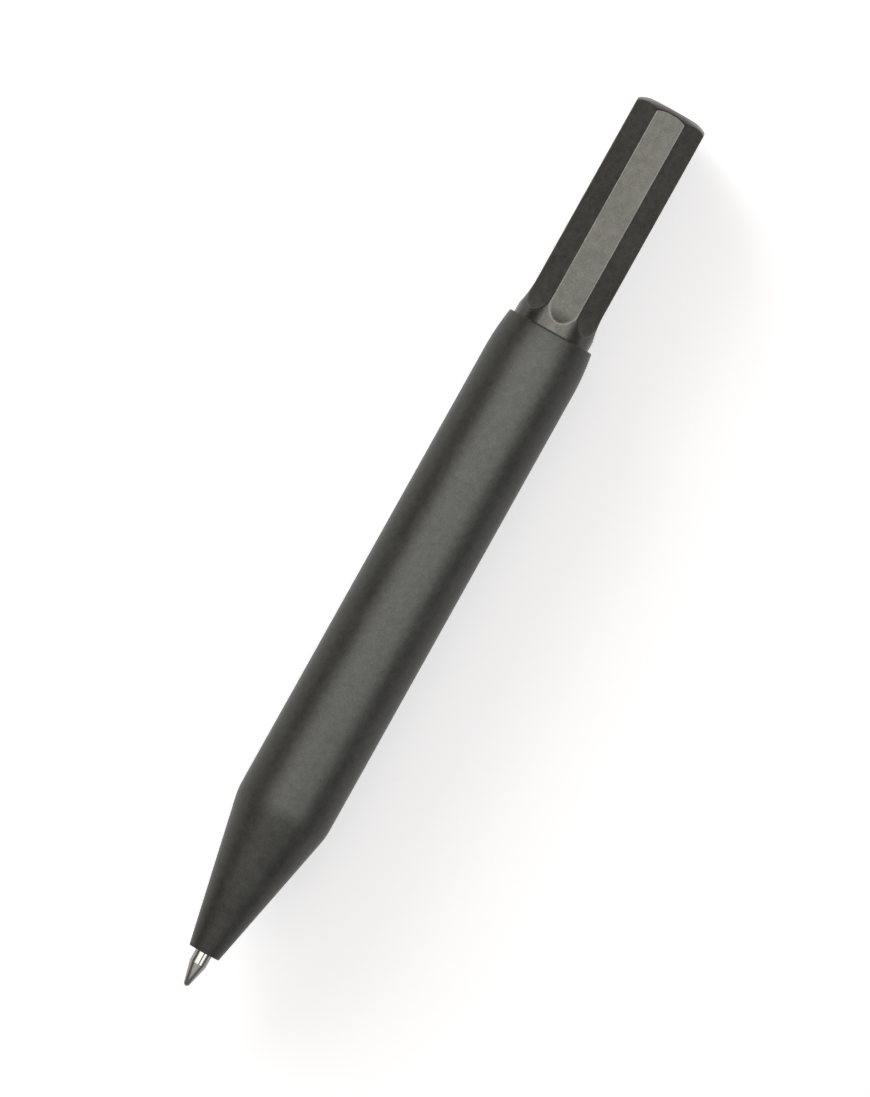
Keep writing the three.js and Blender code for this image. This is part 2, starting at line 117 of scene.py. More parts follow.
class Workshop:
    """Mesh operations on one piece at a time, as on a bench."""

    @staticmethod
    def clear_selection() -> None:
        """Deselects everything."""
        bpy.ops.object.select_all(action="DESELECT")

    @staticmethod
    def pick(piece: bpy.types.Object) -> None:
        """Makes one piece the selected and active one.

        Args:
            piece: The object to work on.
        """
        Workshop.clear_selection()
        piece.select_set(True)
        bpy.context.view_layer.objects.active = piece

    @staticmethod
    def take(name: str) -> bpy.types.Object:
        """Names the piece that was just made, and its mesh.

        Args:
            name: The piece's name.

        Returns:
            The piece.
        """
        piece = bpy.context.object
        piece.name = name
        piece.data.name = name
        return piece

    @staticmethod
    def settle(piece: bpy.types.Object) -> bpy.types.Object:
        """Puts a piece's place into its mesh.

        Args:
            piece: The object to settle.

        Returns:
            The same object, at the origin, unturned and unscaled.
        """
        Workshop.pick(piece)
        bpy.ops.object.transform_apply(location=True, rotation=True, scale=True)
        return piece

    @staticmethod
    def weld(piece: bpy.types.Object) -> bpy.types.Object:
        """Merges the doubled points of a piece in edit mode and turns its faces outwards.

        Args:
            piece: The object to weld.

        Returns:
            The same object, out of edit mode and settled.
        """
        bpy.ops.mesh.select_all(action="SELECT")
        bpy.ops.mesh.remove_doubles(threshold=MERGE_WITHIN)
        bpy.ops.mesh.normals_make_consistent(inside=False)
        bpy.ops.object.mode_set(mode="OBJECT")
        return Workshop.settle(piece)

    @staticmethod
    def turn(name: str, profile: Profile, steps: int) -> bpy.types.Object:
        """Turns a closed profile round the pen's axis, as on a lathe.

        Args:
            name: The new piece's name.
            profile: Points of (radius, station) in millimetres, up the outside and back down the inside.
            steps: Steps round the axis.

        Returns:
            The turned piece, closed, with its faces pointing out.
        """
        Workshop.clear_selection()
        # A plane merged to one point is the profile's first point.
        bpy.ops.mesh.primitive_plane_add(size=MM, location=(0, 0, 0))
        piece = Workshop.take(name)
        bpy.ops.object.mode_set(mode="EDIT")
        bpy.ops.mesh.select_all(action="SELECT")
        bpy.ops.mesh.merge(type="CENTER")
        radius, station = profile[0]
        bpy.ops.transform.translate(value=(ZERO_X + station * MM, 0, AXIS_Z + radius * MM))
        for (radius, station), (next_radius, next_station) in zip(profile, profile[1:]):
            step = ((next_station - station) * MM, 0, (next_radius - radius) * MM)
            bpy.ops.mesh.extrude_region_move(TRANSFORM_OT_translate={"value": step})
        bpy.ops.mesh.select_all(action="SELECT")
        bpy.ops.mesh.spin(steps=steps, angle=2 * math.pi, center=(0, 0, AXIS_Z), axis=(1, 0, 0))
        return Workshop.weld(piece)

    @staticmethod
    def smooth(piece: bpy.types.Object, degrees: float) -> None:
        """Shades a piece smooth, but for its sharp edges.

        Args:
            piece: The object to shade.
            degrees: The angle past which an edge stays sharp.
        """
        Workshop.pick(piece)
        bpy.ops.object.shade_smooth_by_angle(angle=math.radians(degrees))


def arc(centre: tuple[float, float], radius: float, start: float, end: float, steps: int) -> Profile:
    """Points on a round stretch of a profile.

    Args:
        centre: The arc's centre, as (radius, station).
        radius: The arc's own radius.
        start: The first angle in degrees. 0 points away from the pen's axis and 90 to the plunger's end.
        end: The last angle.
        steps: Steps along the arc.

    Returns:
        The points, both ends included.
    """
    turns = [math.radians(start + (end - start) * i / steps) for i in range(steps + 1)]
    return [(centre[0] + radius * math.cos(a), centre[1] + radius * math.sin(a)) for a in turns]


def even(first: float, last: float, step: float) -> list[float]:
    """Evenly spaced stations.

    Args:
        first: The first station.
        last: The last station.
        step: About how far apart they are.

    Returns:
        The stations, both ends included.
    """
    count = max(1, round(abs(last - first) / step))
    return [first + (last - first) * i / count for i in range(count + 1)]


def soft_least(first: float, second: float, blend: float) -> float:
    """Gives the lesser of two lengths, eased where they are alike.

    Args:
        first: One length.
        second: The other.
        blend: How near they are where the easing starts.

    Returns:
        The eased lesser length, never more than either.
    """
    share = min(max(0.5 + 0.5 * (second - first) / blend, 0.0), 1.0)
    return second + (first - second) * share - blend * share * (1 - share)


# Materials


class NodeTree:
    """A shader node tree, with a short way to add and join its nodes."""

    def __init__(self, tree: bpy.types.NodeTree) -> None:
        """Takes up a tree.

        Args:
            tree: The tree to build in.
        """
        self.tree = tree

    def find(self, kind: str) -> bpy.types.Node:
        """Gives the node of a type that the tree started with."""
        return next(node for node in self.tree.nodes if node.type == kind)

    def add(self, kind: str, **values: object) -> bpy.types.Node:
        """Adds a node.

        Args:
            kind: The node's class name.
            **values: Properties of the node to set.

        Returns:
            The new node.
        """
        node = self.tree.nodes.new(kind)
        for key, value in values.items():
            setattr(node, key, value)
        return node

    def join(self, source: bpy.types.NodeSocket, target: bpy.types.NodeSocket) -> None:
        """Links an output to an input.

        Args:
            source: The output socket.
            target: The input socket.
        """
        self.tree.links.new(source, target)

    def math(
        self, operation: str, *inputs: bpy.types.NodeSocket | float, clamp: bool = False
    ) -> bpy.types.NodeSocket:
        """Adds a maths node.

        Args:
            operation: The node's operation.
            *inputs: Output sockets or numbers, in the order of the node's inputs.
            clamp: Whether the result stays from 0 to 1.

        Returns:
            The result's socket.
        """
        node = self.add("ShaderNodeMath", operation=operation, use_clamp=clamp)
        for value, socket in zip(inputs, node.inputs):
            if isinstance(value, (int, float)):
                socket.default_value = value
            else:
                self.join(value, socket)
        return node.outputs[0]

    def by_ray(self, seen: float, unseen: float) -> bpy.types.NodeSocket:
        """Gives one strength where a ray sees or mirrors a surface, and another where it lights things.

        Args:
            seen: The strength for camera, glossy and transmission rays.
            unseen: The strength for all other rays.

        Returns:
            The strength's socket.
        """
        path = self.add("ShaderNodeLightPath")
        either = self.math("MAXIMUM", path.outputs["Is Camera Ray"], path.outputs["Is Glossy Ray"])
        any_seen = self.math("MAXIMUM", either, path.outputs["Is Transmission Ray"])
        return self.math("MULTIPLY_ADD", any_seen, seen - unseen, unseen)


class Effect(NodeTree):
    """A shared surface effect: a node group that puts out Tone and Rough, both about 0, and a Height."""

    title: str
    inputs: dict[str, float]

    def __init__(self) -> None:
        """Starts the group with its sockets and fills it."""
        super().__init__(bpy.data.node_groups.new(self.title, "ShaderNodeTree"))
        self.entry = self.add("NodeGroupInput")
        self.exit = self.add("NodeGroupOutput")
        new_socket = self.tree.interface.new_socket
        new_socket(name="Vector", in_out="INPUT", socket_type="NodeSocketVector")
        for name, value in self.inputs.items():
            new_socket(name=name, in_out="INPUT", socket_type="NodeSocketFloat").default_value = value
        for name in ("Tone", "Rough", "Height"):
            new_socket(name=name, in_out="OUTPUT", socket_type="NodeSocketFloat")
        self.fill()

    def fill(self) -> None:
        """Builds the effect from the group's inputs to its outputs."""
        raise NotImplementedError

    def noise(
        self,
        scale: str | float,
        detail: float,
        roughness: float = 0.5,
        vector: bpy.types.NodeSocket | None = None,
    ) -> bpy.types.NodeSocket:
        """Adds a noise texture.

        Args:
            scale: The name of the input that holds the scale, or the scale itself.
            detail: How many finer layers the noise has.
            roughness: How strong the finer layers are.
            vector: Where the noise is read, if not at the group's own vector.

        Returns:
            The noise, from 0 to 1.
        """
        node = self.add("ShaderNodeTexNoise")
        node.inputs["Detail"].default_value = detail
        node.inputs["Roughness"].default_value = roughness
        self.join(self.entry.outputs["Vector"] if vector is None else vector, node.inputs["Vector"])
        if isinstance(scale, str):
            self.join(self.entry.outputs[scale], node.inputs["Scale"])
        else:
            node.inputs["Scale"].default_value = scale
        return node.outputs["Fac"]

    def centred(self, noise: bpy.types.NodeSocket) -> bpy.types.NodeSocket:
        """Moves a noise down by half, so that it varies about 0."""
        return self.math("SUBTRACT", noise, 0.5)

    def blend(self, *layers: tuple[bpy.types.NodeSocket, float]) -> bpy.types.NodeSocket:
        """Adds up layers.

        Args:
            *layers: Each layer with its weight.

        Returns:
            The weighted sum.
        """
        total = self.math("MULTIPLY", *layers[0])
        for layer, weight in layers[1:]:
            total = self.math("ADD", total, self.math("MULTIPLY", layer, weight))
        return total

    def give(
        self, tone: bpy.types.NodeSocket, rough: bpy.types.NodeSocket, height: bpy.types.NodeSocket
    ) -> None:
        """Joins the results to the group's outputs.

        Args:
            tone: What lightens and darkens the colour.
            rough: What changes the roughness.
            height: What the bump is made from.
        """
        for name, result in (("Tone", tone), ("Rough", rough), ("Height", height)):
            self.join(result, self.exit.inputs[name])


class BlastedGrain(Effect):
    """Bead-blasted grain: fine dimples, a slow drift of tone and lustre, and edges made lighter, partly as
    wear and partly as a painted highlight.
    """

    title = "bead_blasted_grain"
    inputs = {"Grain Scale": 6500, "Blotch Scale": 1100, "Edge Wear And Highlight": 0}
    drift_scale = 180
    speckle_tone = 0.9
    patch_tone = 0.62
    drift_tone = 0.4
    patch_lustre = 0.6
    dimple_depth = 0.5

    def fill(self) -> None:
        """Adds up the layers, and makes an edge lighter and smoother, as wear and as a painted highlight."""
        grain = self.noise("Grain Scale", detail=2, roughness=0.6)
        cells = self.add("ShaderNodeTexVoronoi")
        self.join(self.entry.outputs["Vector"], cells.inputs["Vector"])
        self.join(self.entry.outputs["Grain Scale"], cells.inputs["Scale"])
        speckle = self.centred(grain)
        patch = self.centred(self.noise("Blotch Scale", detail=3, roughness=0.55))
        drift = self.centred(self.noise(self.drift_scale, detail=4, roughness=0.55))
        tone = self.blend((speckle, self.speckle_tone), (patch, self.patch_tone), (drift, self.drift_tone))
        lustre = self.blend((drift, 1.0), (patch, self.patch_lustre))
        # Edges are lightened in the colour: wear, and a painted highlight along them.
        worn_and_highlit = self.math("MULTIPLY", self.entry.outputs["Edge Wear And Highlight"], self.math("ADD", speckle, 1.0))
        self.give(
            tone=self.math("ADD", tone, worn_and_highlit),
            rough=self.math("SUBTRACT", lustre, worn_and_highlit),
            height=self.blend((grain, 1.0), (cells.outputs["Distance"], self.dimple_depth)),
        )


class TurnedRings(Effect):
    """Lathe marks: fine rings round the pen's axis, with a slow drift of lustre."""

    title = "turned_rings"
    inputs = {"Ring Scale": 9000}
    across = 0.04
    drift_scale = 400
    ring_lustre = 0.5

    def fill(self) -> None:
        """Stretches a noise round the pen, so that it changes mostly along it, and adds the drift."""
        stretch = self.add("ShaderNodeMapping")
        stretch.inputs["Scale"].default_value = (1, self.across, self.across)
        self.join(self.entry.outputs["Vector"], stretch.inputs["Vector"])
        rings = self.noise("Ring Scale", detail=3, vector=stretch.outputs["Vector"])
        ring = self.centred(rings)
        drift = self.centred(self.noise(self.drift_scale, detail=3))
        self.give(
            tone=self.blend((ring, 1.0), (drift, 1.0)),
            rough=self.blend((drift, 1.0), (ring, self.ring_lustre)),
            height=rings,
        )


class MouldedSkin(Effect):
    """A moulded skin: a faint orange peel with dusty patches."""

    title = "moulded_skin"
    inputs = {"Peel Scale": 1500}
    dust_scale = 350
    peel_lustre = 0.5

    def fill(self) -> None:
        """Takes the tone from the dust, the bump from the peel and the lustre from both."""
        peel = self.noise("Peel Scale", detail=3)
        dust = self.centred(self.noise(self.dust_scale, detail=5, roughness=0.6))
        self.give(
            tone=dust,
            rough=self.blend((dust, 1.0), (self.centred(peel), self.peel_lustre)),
            height=peel,
        )


class Surface(Enum):
    """The shared effects, each with the input that says how fine it is."""

    BLASTED = "Grain Scale"
    TURNED = "Ring Scale"
    MOULDED = "Peel Scale"


@dataclass(frozen=True)
class Finish:
    """A material and the shared effect that varies it."""

    name: str
    colour: Colour
    surface: Surface
    scale: float
    metallic: float = 0.0
    roughness: float = 0.5
    specular: float = 0.5
    tone_swing: float = 0.2
    rough_swing: float = 0.15
    bump_mm: float = 0.004
    bump_strength: float = 0.5


FINISHES = {
    Slot.BARREL: Finish(
        "charcoal_anodised_barrel", srgb(71, 71, 68), Surface.BLASTED, 6500,
        metallic=1.0, roughness=0.46, tone_swing=0.9, rough_swing=0.12, bump_mm=0.006, bump_strength=0.55,
    ),
    Slot.PLUNGER: Finish(
        "charcoal_anodised_plunger", srgb(70, 69, 65), Surface.BLASTED, 6500,
        metallic=1.0, roughness=0.3, tone_swing=1.1, rough_swing=0.12, bump_mm=0.006, bump_strength=0.5,
    ),
    Slot.BRASS: Finish(
        "turned_brass", srgb(214, 180, 104), Surface.TURNED, 9000,
        metallic=1.0, roughness=0.28, rough_swing=0.2,
    ),
    Slot.NICKEL: Finish(
        "nickel_silver_point", srgb(142, 141, 136), Surface.TURNED, 12000,
        metallic=1.0, roughness=0.13, tone_swing=0.12, rough_swing=0.12, bump_mm=0.0015, bump_strength=0.4,
    ),
    Slot.STEEL: Finish(
        "drawn_steel", srgb(196, 198, 200), Surface.TURNED, 7000,
        metallic=1.0, roughness=0.25, rough_swing=0.2,
    ),
    Slot.CARBIDE: Finish(
        "lapped_carbide", srgb(168, 170, 174), Surface.BLASTED, 40000,
        metallic=1.0, roughness=0.12, tone_swing=0.1, rough_swing=0.08, bump_mm=0.0005, bump_strength=0.2,
    ),
    Slot.WHITE_ACETAL: Finish(
        "white_acetal", srgb(232, 230, 222), Surface.MOULDED, 1500,
        roughness=0.42, tone_swing=0.1,
    ),
    Slot.GREY_ACETAL: Finish(
        "grey_acetal", srgb(92, 95, 98), Surface.MOULDED, 1500,
        roughness=0.45, tone_swing=0.15,
    ),
    Slot.RUBBER: Finish(
        "black_rubber", srgb(32, 32, 33), Surface.MOULDED, 2500,
        roughness=0.72, specular=0.35, tone_swing=0.3,
    ),
    Slot.INK: Finish(
        "black_ink", srgb(12, 13, 22), Surface.MOULDED, 700,
        roughness=0.14, tone_swing=0.3, rough_swing=0.08,
    ),
}


class Shader(NodeTree):
    """A material's node tree, round its Principled BSDF."""

    def __init__(self, name: str) -> None:
        """Starts a material.

        Args:
            name: The material's name.
        """
        self.material = bpy.data.materials.new(name)
        self.material.use_nodes = True
        super().__init__(self.material.node_tree)
        self.sockets = self.find("BSDF_PRINCIPLED").inputs

    def place(self, group: bpy.types.NodeTree, inputs: dict[str, float]) -> bpy.types.Node:
        """Places a shared effect in this material.

        Args:
            group: The effect's node group.
            inputs: Its input values, by name.

        Returns:
            The group node, fed with the piece's own coordinates.
        """
        node = self.add("ShaderNodeGroup", node_tree=group)
        for name, value in inputs.items():
            node.inputs[name].default_value = value
        coordinates = self.add("ShaderNodeTexCoord")
        self.join(coordinates.outputs["Object"], node.inputs["Vector"])
        return node

    def apply(self, finish: Finish, effect: bpy.types.Node) -> None:
        """Sets the shader's values and lets an effect vary them.

        Args:
            finish: The values, and how far the effect moves them.
            effect: The placed effect.
        """
        self.sockets["Metallic"].default_value = finish.metallic
        self.sockets["Specular IOR Level"].default_value = finish.specular
        tone = self.math("MULTIPLY_ADD", effect.outputs["Tone"], finish.tone_swing, 1.0)
        colour = self.add("ShaderNodeVectorMath", operation="SCALE")
        colour.inputs[0].default_value = finish.colour
        self.join(tone, colour.inputs["Scale"])
        self.join(colour.outputs[0], self.sockets["Base Color"])
        rough = self.math(
            "MULTIPLY_ADD", effect.outputs["Rough"], finish.rough_swing, finish.roughness, clamp=True
        )
        self.join(rough, self.sockets["Roughness"])
        bump = self.add("ShaderNodeBump")
        bump.inputs["Strength"].default_value = finish.bump_strength
        bump.inputs["Distance"].default_value = finish.bump_mm * MM
        self.join(effect.outputs["Height"], bump.inputs["Height"])
        self.join(bump.outputs["Normal"], self.sockets["Normal"])


class Palette:
    """Mixes each finish once and gives it to the pieces."""

    def __init__(self) -> None:
        """Builds the shared effects and every material."""
        self.effects = {
            Surface.BLASTED: BlastedGrain().tree,
            Surface.TURNED: TurnedRings().tree,
            Surface.MOULDED: MouldedSkin().tree,
        }
        self.materials = {slot: self.mix(finish) for slot, finish in FINISHES.items()}

    def mix(self, finish: Finish) -> bpy.types.Material:
        """Mixes a material from its finish.

        Args:
            finish: What the material is.

        Returns:
            The material.
        """
        shader = Shader(finish.name)
        effect = shader.place(self.effects[finish.surface], {finish.surface.value: finish.scale})
        if finish.surface is Surface.BLASTED:
            # The blasted finishes take the edge mask, which paints wear and a highlight onto the edges.
            wear_and_highlight = shader.add("ShaderNodeAttribute", attribute_name=EDGE_WEAR_AND_HIGHLIGHT)
            shader.join(wear_and_highlight.outputs["Fac"], effect.inputs["Edge Wear And Highlight"])
        shader.apply(finish, effect)
        return shader.material

    def dress(self, piece: bpy.types.Object, slot: Slot) -> None:
        """Gives a piece its material.

        Args:
            piece: A new piece or a node of the frame.
            slot: The finish's slot.
        """
        piece.data.materials.clear()
        piece.data.materials.append(self.materials[slot])


# Sub-assemblies


class Assembly:
    """A sub-assembly: it makes new pieces, says what they stand for and dresses them."""

    def __init__(self, palette: Palette) -> None:
        """Keeps the palette for its pieces.

        Args:
            palette: The shared materials.
        """
        self.palette = palette

    def build(self) -> None:
        """Makes and dresses the sub-assembly's pieces."""
        raise NotImplementedError

    def stand_in(self, piece: bpy.types.Object, node: str, slot: Slot) -> None:
        """Dresses a new piece and puts it in a node's place.

        Args:
            piece: The new piece.
            node: The node that it stands for.
            slot: Its finish.
        """
        self.palette.dress(piece, slot)
        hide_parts(node)
        log.info("%s stands for %s, %d faces", piece.name, node, len(piece.data.polygons))

    def fit(self, piece: bpy.types.Object, node: str, body: str, slot: Slot) -> None:
        """Puts a new rigid piece in a node's place, on a body.

        Args:
            piece: The new piece.
            node: The node that it stands for.
            body: The body that it moves with.
            slot: Its finish.
        """
        self.stand_in(piece, node, slot)
        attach(piece, body)


@dataclass(frozen=True)
class BarrelSizes:
    """The barrel's outline, in millimetres along and across the pen, and in degrees."""

    nose_face: float = 4.72
    nose_radius: float = 2.155
    cone_end: float = 25.35
    shoulder_blend: float = 10.0
    shoulder_steps: int = 20
    radius: float = 6.5
    taper_start: float = 90.7
    taper_steps: int = 24
    rim: float = 96.45
    rim_radius: float = 6.0
    rim_break: float = 12.0
    edge: float = 0.09
    edge_steps: int = 5
    bore_edge: float = 0.05
    bore_edge_steps: int = 4
    tip_bore: float = 1.28
    tip_bore_end: float = 8.9
    spring_seat: float = 9.2
    spring_bore: float = 2.35
    spring_end: float = 11.8
    refill_start: float = 12.4
    refill_bore: float = 3.15
    thread_start: float = 74.0
    thread_bore: float = 4.9
    plunger_start: float = 82.0
    plunger_bore: float = 5.48
    steps: int = 288
    sharp_angle: float = 30.0


class Barrel(Assembly):
    """The one-piece turned barrel."""

    sizes = BarrelSizes()

    def outline(self) -> Profile:
        """Draws the barrel's section.

        Returns:
            The closed profile, from the nose up the outside and back down the bores.
        """
        size = self.sizes
        slope = math.atan2(size.radius - size.nose_radius, size.cone_end - size.nose_face)
        tilt = math.degrees(slope)
        shoulder_end = size.cone_end + size.shoulder_blend * math.tan(slope / 2)
        nose_centre = (
            size.nose_radius + size.edge * math.tan(slope) - size.edge / math.cos(slope),
            size.nose_face + size.edge,
        )
        run = size.rim - size.taper_start
        drop = size.radius - size.rim_radius
        taper = (run**2 + drop**2) / (2 * drop)
        rim_tilt = math.degrees(math.asin((run - size.edge) / taper))
        rim_centre = (size.rim_radius - size.edge, size.rim - size.edge)
        mouth = (size.tip_bore + size.bore_edge, size.nose_face + size.bore_edge)
        bore_mouth = (size.plunger_bore + size.bore_edge, size.rim - size.bore_edge)
        profile = arc(mouth, size.bore_edge, 180, 270, size.bore_edge_steps)
        profile += arc(nose_centre, size.edge, -90, -tilt, size.edge_steps)
        shoulder_centre = (size.radius - size.shoulder_blend, shoulder_end)
        profile += arc(shoulder_centre, size.shoulder_blend, -tilt, 0, size.shoulder_steps)
        profile += arc((size.radius - taper, size.taper_start), taper, 0, rim_tilt, size.taper_steps)
        profile += arc(rim_centre, size.edge, rim_tilt + size.rim_break, 90, size.edge_steps)
        profile += arc(bore_mouth, size.bore_edge, 90, 180, size.bore_edge_steps)
        profile += [
            (size.plunger_bore, size.plunger_start),
            (size.thread_bore, size.plunger_start),
            (size.thread_bore, size.thread_start),
            (size.refill_bore, size.thread_start),
            (size.refill_bore, size.refill_start),
            (size.spring_bore, size.spring_end),
            (size.spring_bore, size.spring_seat),
            (size.tip_bore, size.tip_bore_end),
        ]
        profile.append(profile[0])
        return profile

    def build(self) -> None:
        """Turns and dresses the barrel."""
        piece = Workshop.turn("turned_barrel", self.outline(), self.sizes.steps)
        Workshop.smooth(piece, self.sizes.sharp_angle)
        self.fit(piece, "barrel", "barrel", Slot.BARREL)


@dataclass(frozen=True)
class PlungerSizes:
    """The plunger's outline, in millimetres along and across the pen, and in degrees."""

    start: float = 85.6
    radius: float = 5.42
    flats: int = 8
    across_flats: float = 9.82
    runout_start: float = 97.75
    runout_end: float = 101.4
    rings_before: float = 0.2
    rings_past: float = 0.1
    ring_step: float = 0.04
    plain_start: float = 104.0
    plain_end: float = 125.0
    plain_step: float = 3.0
    end: float = END_STATION
    crown_start: float = 127.32
    crown_radius: float = 3.5
    crown_lead: float = 2.6
    crown_fall: float = 1.2
    crown_steps: int = 36
    edge: float = 0.12
    crease: float = 0.05
    end_crease: float = 0.12
    end_from: float = 126.0
    lean: float = 0.9
    bore: float = 4.15
    bore_margin: float = 0.2
    bore_end: float = 125.3
    groove_start: float = 88.0
    groove_end: float = 88.75
    groove_radius: float = 4.84
    # How wide and strong the lighter edges are: wear, and a painted highlight.
    wear_and_highlight_width: float = 0.11
    edge_wear_and_highlight: float = 0.6
    shallow_wear_and_highlight: float = 0.3
    steps: int = 384
    sharp_angle: float = 35.0


class Plunger(Assembly):
    """The eight-sided plunger, turned first and then milled."""

    sizes = PlungerSizes()

    def outline(self) -> Profile:
        """Draws the turned bar's section, with close rings where the mill leaves an edge.

        Returns:
            The closed profile, from the front end up the outside and back down the bore.
        """
        size = self.sizes
        close = even(size.runout_start - size.rings_before, size.runout_end + size.rings_past, size.ring_step)
        profile = [(size.bore, size.start), (size.radius - size.edge, size.start)]
        profile += [(size.radius, size.start + size.edge)]
        profile += [(size.radius, size.groove_start), (size.groove_radius, size.groove_start)]
        profile += [(size.groove_radius, size.groove_end), (size.radius, size.groove_end)]
        profile += [(size.radius, s) for s in close + even(size.plain_start, size.plain_end, size.plain_step)]
        profile += self.crown()
        profile += [(0.0, size.end), (0.0, size.bore_end), (size.bore, size.bore_end)]
        profile.append(profile[0])
        return profile

    def crown(self) -> Profile:
        """Draws the rounded end, which falls away slowly at first and then faster.

        Returns:
            The points from the full radius to the end face.
        """
        size = self.sizes
        points = []
        for step in range(size.crown_steps + 1):
            share = math.sin(math.pi / 2 * step / size.crown_steps)
            height = (1 - share**size.crown_lead) ** (1 / size.crown_fall)
            radius = size.crown_radius + (size.radius - size.crown_radius) * height
            points.append((radius, size.crown_start + (size.end - size.crown_start) * share))
        return points

    def flat_height(self, station: float) -> float:
        """Gives the distance from the axis to a flat.

        Args:
            station: The place along the pen, in millimetres.

        Returns:
            The distance, which grows along an arc where the flat runs out into the round base.
        """
        size = self.sizes
        flat = size.across_flats / 2
        if station >= size.runout_end:
            return flat
        rise = size.radius - flat
        run = size.runout_end - size.runout_start
        sweep = (run**2 + rise**2) / (2 * rise)
        reach = min(size.runout_end - station, sweep)
        return flat + sweep - math.sqrt(sweep**2 - reach**2)

    def mill(self, piece: bpy.types.Object) -> None:
        """Moves the bar's skin in to the flats, with a slight break on their edges, and marks the edges for
        wear and a painted highlight.

        Args:
            piece: The turned bar.
        """
        size = self.sizes
        pitch = 2 * math.pi / size.flats
        # The edge mask lightens the colour: wear, and a painted highlight on the flats' edges and run-outs.
        wear_and_highlight = piece.data.attributes.new(EDGE_WEAR_AND_HIGHLIGHT, "FLOAT", "POINT")
        for vertex, worn_and_highlit in zip(piece.data.vertices, wear_and_highlight.data):
            y = vertex.co.y / MM
            height = (vertex.co.z - AXIS_Z) / MM
            station = (vertex.co.x - ZERO_X) / MM
            radius = math.hypot(y, height)
            if radius < size.bore + size.bore_margin or station < size.groove_end:
                continue
            angle = math.atan2(y, height) + math.radians(size.lean)
            turn = (angle + pitch / 2) % pitch - pitch / 2
            flat = self.flat_height(station)
            # Where the line from the axis through this point meets its own flat, and the next one.
            near = flat / math.cos(turn)
            far = flat / math.cos(pitch - abs(turn))
            # An edge is where two of the round bar, the flat and the next flat are as far out as each other.
            gap = abs(radius - near) if near > radius else min(far - near, radius - near)
            strength = size.shallow_wear_and_highlight if near > radius or radius - near < far - near else size.edge_wear_and_highlight
            worn_and_highlit.value = strength * max(0.0, 1 - gap / size.wear_and_highlight_width)
            reach = soft_least(near, far, size.crease)
            reach = soft_least(radius, reach, size.end_crease if station > size.end_from else size.crease)
            vertex.co.y *= reach / radius
            vertex.co.z = AXIS_Z + height * reach / radius * MM

    def build(self) -> None:
        """Turns, mills and dresses the plunger."""
        piece = Workshop.turn("milled_plunger", self.outline(), self.sizes.steps)
        self.mill(piece)
        Workshop.smooth(piece, self.sizes.sharp_angle)
        self.fit(piece, "plunger", "plunger", Slot.PLUNGER)


@dataclass(frozen=True)
class PointSizes:
    """The refill's point and ball, in millimetres and degrees."""

    front: float = -0.2
    ball_radius: float = 0.35
    ball_segments: int = 64
    ball_rings: int = 32
    ball_sharp_angle: float = 60.0
    lip: float = 0.02
    lip_bore: float = 0.345
    lip_radius: float = 0.39
    lip_edge: float = 0.03
    cone_end: float = 3.06
    shoulder: float = 0.12
    arc_steps: int = 4
    radius: float = 1.17
    end: float = 12.5
    ink_radius: float = 0.2
    socket_from: float = 0.1
    socket_to: float = 0.3
    socket_end: float = 0.65
    socket_radius: float = 0.385
    steps: int = 128
    sharp_angle: float = 30.0


class Point(Assembly):
    """The writing point and its ball."""

    sizes = PointSizes()

    def outline(self) -> Profile:
        """Draws the point's section: a crimped lip, a cone and a straight needle.

        Returns:
            The closed profile.
        """
        size = self.sizes
        slope = math.atan2(size.radius - size.lip_radius, size.cone_end - size.lip)
        tilt = math.degrees(slope)
        lip_centre = (size.lip_radius - size.lip_edge, size.lip + size.lip_edge)
        shoulder_centre = (size.radius - size.shoulder, size.cone_end + size.shoulder * math.tan(slope / 2))
        profile = [(size.lip_bore, size.lip)]
        profile += arc(lip_centre, size.lip_edge, -90, -tilt, size.arc_steps)
        profile += arc(shoulder_centre, size.shoulder, -tilt, 0, size.arc_steps)
        profile += [(size.radius, size.end), (size.ink_radius, size.end), (size.ink_radius, size.socket_end)]
        profile += [(size.socket_radius, size.socket_to), (size.socket_radius, size.socket_from)]
        profile.append(profile[0])
        return profile

    def ball(self) -> bpy.types.Object:
        """Makes the ball.

        Returns:
            The ball, in its socket.
        """
        size = self.sizes
        Workshop.clear_selection()
        bpy.ops.mesh.primitive_uv_sphere_add(
            segments=size.ball_segments,
            ring_count=size.ball_rings,
            radius=size.ball_radius * MM,
            location=(ZERO_X + (size.front + size.ball_radius) * MM, 0, AXIS_Z),
        )
        piece = Workshop.settle(Workshop.take("writing_ball"))
        Workshop.smooth(piece, size.ball_sharp_angle)
        return piece

    def build(self) -> None:
        """Makes and dresses the point and its ball."""
        point = Workshop.turn("writing_point", self.outline(), self.sizes.steps)
        Workshop.smooth(point, self.sizes.sharp_angle)
        self.fit(point, "refill_point", "refill", Slot.NICKEL)
        self.fit(self.ball(), "refill_ball", "ball", Slot.CARBIDE)


@dataclass(frozen=True)
class SpringSizes:
    """The return spring, in millimetres and degrees."""

    start: float = 9.25
    end: float = 13.75
    wire: float = 0.4
    wire_resolution: int = 4
    coil_radius: float = 2.03
    turns: int = 7
    end_turns: int = 1
    end_pitch: float = 0.46
    steps_per_turn: int = 40
    sharp_angle: float = 40.0


